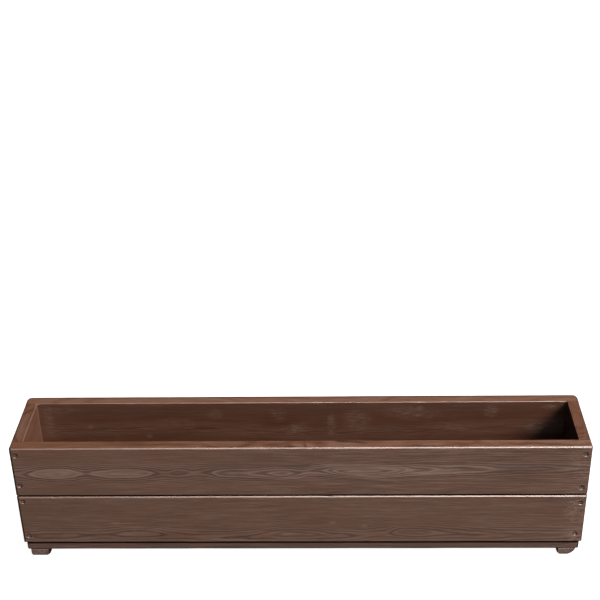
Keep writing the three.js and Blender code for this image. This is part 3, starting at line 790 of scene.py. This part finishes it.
# ---- feet
for name, x0, wide, reach, minus, plus, full, seed in (
        ("foot_left", -442.25, 33.5, 67.0, (3, 5), (8.5, 10.5), 2.0, 71),
        ("foot_right", 411.25, 31.0, 66.0, (7, 10.5), (13, 11), 1.6, 73)):
    span = (-reach, reach)
    spec = board_spec(
        seed, (1, 2, 0), span, 0.0, 1.0,
        by_place([(-reach, 14), (0, 19), (reach, 12)], span),
        by_place([(-reach, x0 + wide * 0.4), (0, x0 + wide * 0.55), (reach, x0 + wide * 0.45)], span),
        # painted shade along the bottom and on the side that faces in under the box
        shades=[(-0.7, ("u", 2.6, 1.0)), (-0.95, ("v", x0 + wide - 4.6, x0 + wide - 3.2)) if x0 < 0 else (-0.95, ("v", x0 + 4.2, x0 + 2.6))],
    )
    rows = [r for r in FOOT_SCREWS if x0 < r[1] < x0 + wide]

    def radii(s, seed=seed, minus=minus, plus=plus, reach=reach):
        y = s - reach
        k = 1 + 0.1 * bumps(y / 22, 0, 0, seed)
        return (minus[1] * k, minus[0] * k), (plus[1] * k, plus[0] * k), (1.0, 1.0), (1.0, 1.0)

    obj = timber(name, (x0, -reach, 0), (0, 1, 0), (0, 0, 1), (1, 0, 0), (2 * reach, FOOT, wide), radii,
                 (0.7, 0.6, 1.2, 1.2), (1.2, 0.9, 0.9, 0.9), [(y + reach, x - x0) for _, x, y, _ in rows],
                 wood_carve(spec, seed, relief=0.12, wave=0.14), full)
    finish_wood(obj, name, wood_material("paint_" + name, spec, 0.85, sheen=0.40))


# =================================================================== screws
def screw_material(name, seed, painted):
    net = Net(name)
    x, y, z = net.place()
    broad = net.noise(net.vector(net.scaled(x, 0.35, seed), net.scaled(y, 0.35), net.scaled(z, 0.35)), 3.0, 0.6)
    fine = net.noise(net.vector(net.scaled(x, 1.8, seed), net.scaled(y, 1.8), net.scaled(z, 1.8)), 3.0, 0.6)
    if painted:
        fac = net.add(net.scaled(broad, 0.9, -0.15), net.scaled(fine, 0.5, -0.25))
        colour = net.mix(fac, (0.045, 0.016, 0.010, 1), (0.15, 0.066, 0.040, 1))
        rough = net.scaled(broad, 0.25, 0.34)
        return net.finish(colour, rough, net.add(net.scaled(broad, 0.7), net.scaled(fine, 0.3)), 0.00012, Specular_IOR_Level=0.14)
    fac = net.add(net.scaled(broad, 1.1, -0.3), net.scaled(fine, 0.5, -0.2))
    colour = net.mix(fac, (0.30, 0.25, 0.16, 1), (0.62, 0.55, 0.38, 1))
    rough = net.add(net.scaled(broad, 0.35, 0.2), net.scaled(fine, 0.15, -0.05))
    return net.finish(colour, rough, fine, 0.00003, Metallic=1.0)


def screw(name, length, place, direction, roll, material, painted):
    """A countersunk wood screw: cross recess, cone, and a thread that winds round the shank."""
    sides = 40
    head_r, rim, cone, shank, point = 3.8, 0.6, 2.4, 1.55, 6.0
    angle = np.arange(sides) * 2 * math.pi / sides
    rows = []  # radius and depth of each ring, head side first
    for f in np.linspace(0.0, 1.0, 15)[1:]:
        rows.append(("top", f * (head_r - 0.18), 0.0))
    rows += [("rim", head_r - 0.05, 0.06), ("rim", head_r, 0.2), ("rim", head_r, rim)]
    for f in np.linspace(0, 1, 7)[1:]:
        rows.append(("rim", head_r + (1.9 - head_r) * f ** 0.85, rim + cone * f))
    smooth_end = length * 0.38
    rows += [("rim", 1.9, d) for d in (rim + cone + 1.2, smooth_end - 0.6)]
    pitch_mm = 2.2
    for d in np.arange(smooth_end, length - 0.05, 0.36):
        rows.append(("thread", shank, d))
    rows.append(("tip", 0.0, length))
    verts = [(0.0, 0.0, 0.0)]

    def recess(px, py):
        c, s_ = math.cos(math.radians(roll)), math.sin(math.radians(roll))
        a, b = px * c + py * s_, -px * s_ + py * c
        a, b = abs(a), abs(b)
        soft = 0.34 if painted else 0.16
        slot_a = step(0.62 + soft, 0.62 - soft, b) * step(2.35, 2.0, a)
        slot_b = step(0.62 + soft, 0.62 - soft, a) * step(2.35, 2.0, b)
        deep = (1.25 if painted else 1.7) * (1 - 0.16 * max(a, b))
        bowl = 0.25 * step(1.5, 0.5, math.hypot(a, b))
        return float(max(slot_a, slot_b)) * deep + bowl * float(max(slot_a, slot_b))

    depth0 = recess(0.0, 0.0)
    verts = [(0.0, 0.0, depth0)]
    for kind, r, d in rows[:-1]:
        for t in angle:
            rr, dd = r, d
            if kind == "top":
                dome = 0.05 * (r / head_r) ** 4
                dd = dome + recess(r * math.cos(t), r * math.sin(t))
            elif kind == "thread":
                taper = min(1.0, (length - d) / point)
                core = shank * taper
                wind = (d / pitch_mm - t / (2 * math.pi)) % 1.0
                ridge = max(0.0, 1 - abs(wind - 0.5) / 0.24)
                grow = min(1.0, (d - smooth_end) / 2.0) * min(1.0, (length - d) / 3.0 + 0.15)
                rr = core + 0.42 * ridge * grow
            verts.append((rr * math.cos(t), rr * math.sin(t), dd))
    verts.append((0.0, 0.0, length))
    verts = np.array(verts)
    faces = []
    for j in range(sides):
        faces.append((0, 1 + j, 1 + (j + 1) % sides))
    n_rows = len(rows) - 1
    for i in range(n_rows - 1):
        for j in range(sides):
            a, b = 1 + i * sides + j, 1 + i * sides + (j + 1) % sides
            faces.append((a, a + sides, b + sides, b))
    tip = len(verts) - 1
    base = 1 + (n_rows - 1) * sides
    for j in range(sides):
        faces.append((base + j, tip, base + (j + 1) % sides))
    z = np.array(direction, float)
    x = np.cross((0, 0, 1) if abs(z[2]) < 0.5 else (0, 1, 0), z)
    x = x / np.linalg.norm(x)
    y = np.cross(z, x)
    world = np.array(place, float) + verts[:, :1] * x + verts[:, 1:2] * y + verts[:, 2:] * z
    me = bpy.data.meshes.new(name)
    me.from_pydata((world * MM).tolist(), [], faces)
    me.update()
    # outward faces
    centre = world.mean(0)
    poly = me.polygons[0]
    if Vector(poly.normal).dot(Vector((-z).tolist())) < 0:
        me.flip_normals()
    me.polygons.foreach_set("use_smooth", np.ones(len(me.polygons), bool))
    me.update()
    obj = bpy.data.objects.new(name, me)
    scene.collection.objects.link(obj)
    me.materials.append(material)
    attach(obj, body)
    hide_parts(name)
    return obj


paint_screw = screw_material("paint_on_screws", 3.0, True)
steel_screw = screw_material("zinc_on_screws", 9.0, False)
for name, x, z, turned in FRONT_SCREWS:
    screw("screw_" + name, 45.0, (x, -71 + HEAD_SUNK, z), (0, 1, 0), turned, paint_screw, True)
for name, x, z, turned in BACK_SCREWS:
    screw("screw_" + name, 45.0, (x, 71 - HEAD_SUNK, z), (0, -1, 0), turned, paint_screw, True)
for name, x, y, turned in BASE_SCREWS:
    screw("screw_" + name, 45.0, (x, y, BASE_Z0 + HEAD_SUNK), (0, 0, 1), turned, steel_screw, False)
for name, x, y, turned in FOOT_SCREWS:
    screw("screw_" + name, 28.0, (x, y, HEAD_SUNK), (0, 0, 1), turned, steel_screw, False)

# =================================================================== floor and light
floor_mesh = bpy.data.meshes.new("floor")
ring = [(14 * math.cos(t), 14 * math.sin(t), -0.0004) for t in np.linspace(0, 2 * math.pi, 96, endpoint=False)]
floor_mesh.from_pydata(ring, [], [tuple(range(96))])
floor = bpy.data.objects.new("floor", floor_mesh)
scene.collection.objects.link(floor)
net = Net("floor_white")
seen = net.new("ShaderNodeLightPath").outputs["Is Camera Ray"]
matt = net.new("ShaderNodeBsdfDiffuse")
net.put(matt.inputs["Color"], net.mix(seen, (0.46, 0.46, 0.46, 1), (0.34, 0.34, 0.34, 1)))
glow = net.new("ShaderNodeEmission")
net.put(glow.inputs["Strength"], net.scaled(seen, 0.985))
both = net.new("ShaderNodeAddShader")
net.tree.links.new(matt.outputs[0], both.inputs[0])
net.tree.links.new(glow.outputs[0], both.inputs[1])
net.tree.links.new(both.outputs[0], net.out.inputs[0])
floor_mesh.materials.append(net.material)


def lamp(name, place, aim, size, power, colour=(1, 1, 1), height=None):
    data = bpy.data.lights.new(name, "AREA")
    data.shape = "RECTANGLE"
    data.size, data.size_y = size, height or size
    data.energy = power
    data.color = colour
    obj = bpy.data.objects.new(name, data)
    scene.collection.objects.link(obj)
    obj.location = place
    obj.rotation_mode = "QUATERNION"
    obj.rotation_quaternion = (Vector(place) - Vector(aim)).to_track_quat("Z", "Y")
    obj.visible_camera = False
    return obj


target = (0.0, 0.0, 0.12)


def around(azimuth, elevation, distance):
    """A place round the box: azimuth 0 is in front of it, 90 at its right end."""
    a, e = math.radians(azimuth), math.radians(elevation)
    return (target[0] + distance * math.sin(a) * math.cos(e), target[1] - distance * math.cos(a) * math.cos(e),
            target[2] + distance * math.sin(e))


lamp("side_soft", around(60, 41, 13.0), target, 5.2, 1930)
lamp("top_soft", around(95, 60, 8.0), target, 3.0, 425)
lamp("back_fill", (1.2, 5.0, 2.0), target, 2.0, 55).visible_glossy = False
# seen only in the gloss: the bright lines on the rounded edges
for azimuth, wide, power in ((21, 2.8, 1130), (4, 2.0, 250), (-10, 2.4, 215)):
    for elevation in (13, 37, 61):
        glint = lamp("glint", around(azimuth, elevation, 8.0), target, wide, power, height=3.2)
        glint.visible_diffuse = False
        glint.data.use_nodes = True
        nodes, links = glint.data.node_tree.nodes, glint.data.node_tree.links
        nodes.clear()
        shine, end, path = (nodes.new("ShaderNode" + k) for k in ("Emission", "OutputLight", "LightPath"))
        early, straight = nodes.new("ShaderNodeMath"), nodes.new("ShaderNodeMath")
        early.operation, straight.operation = "LESS_THAN", "SUBTRACT"
        early.inputs[1].default_value = 2.5
        links.new(path.outputs["Ray Depth"], early.inputs[0])
        links.new(early.outputs[0], straight.inputs[0])
        links.new(path.outputs["Is Diffuse Ray"], straight.inputs[1])
        straight.use_clamp = True
        links.new(straight.outputs[0], shine.inputs["Strength"])
        links.new(shine.outputs[0], end.inputs[0])

world = bpy.data.worlds.new("studio")
scene.world = world
world.use_nodes = True
tree = world.node_tree
tree.nodes.clear()
out = tree.nodes.new("ShaderNodeOutputWorld")
mix = tree.nodes.new("ShaderNodeMixShader")
dim = tree.nodes.new("ShaderNodeBackground")
bright = tree.nodes.new("ShaderNodeBackground")
path = tree.nodes.new("ShaderNodeLightPath")
dim.inputs["Color"].default_value = (1, 1, 1, 1)
dim.inputs["Strength"].default_value = 0.004
bright.inputs["Strength"].default_value = 1.0
bright.inputs["Color"].default_value = (0.93, 0.93, 0.93, 1)
tree.links.new(path.outputs["Is Camera Ray"], mix.inputs[0])
tree.links.new(dim.outputs[0], mix.inputs[1])
tree.links.new(bright.outputs[0], mix.inputs[2])
tree.links.new(mix.outputs[0], out.inputs[0])
